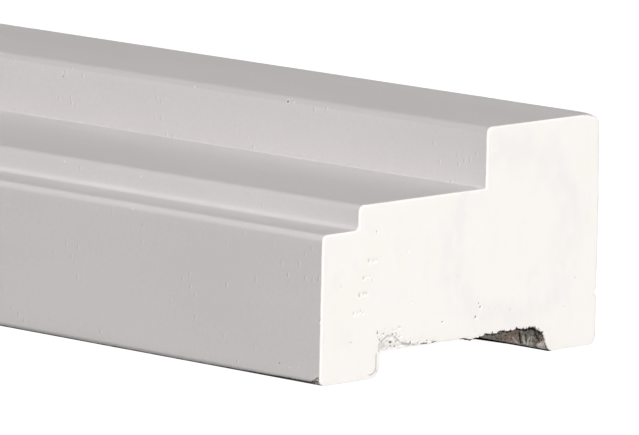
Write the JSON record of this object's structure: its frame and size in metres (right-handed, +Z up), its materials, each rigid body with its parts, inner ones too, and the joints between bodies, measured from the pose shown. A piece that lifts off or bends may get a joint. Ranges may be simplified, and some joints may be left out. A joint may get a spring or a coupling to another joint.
{
  "type": "window frame profile",
  "caption": "Short square-cut length of primed timber window frame profile with a sash ledge, a rear upstand and a grooved underside.",
  "frame": {"origin": "on the plane of the feet, under the middle of the length and of the depth", "axes": "+X along the length, towards the sawn end that the picture shows; -Y out of the low front face; +Z up, from the feet to the top of the rear upstand"},
  "size_m": [0.25, 0.114, 0.067],
  "materials": {
    "primed_timber": "matt light grey primer on the long faces",
    "end_sealer": "thick warm-white sealer brushed over the end grain of the sawn ends",
    "bare_timber": "bare, fibrous grey-brown wood in the groove of the underside"
  },
  "bodies": {
    "root": {"frame_profile": "primed_timber"}
  },
  "joints": []
}
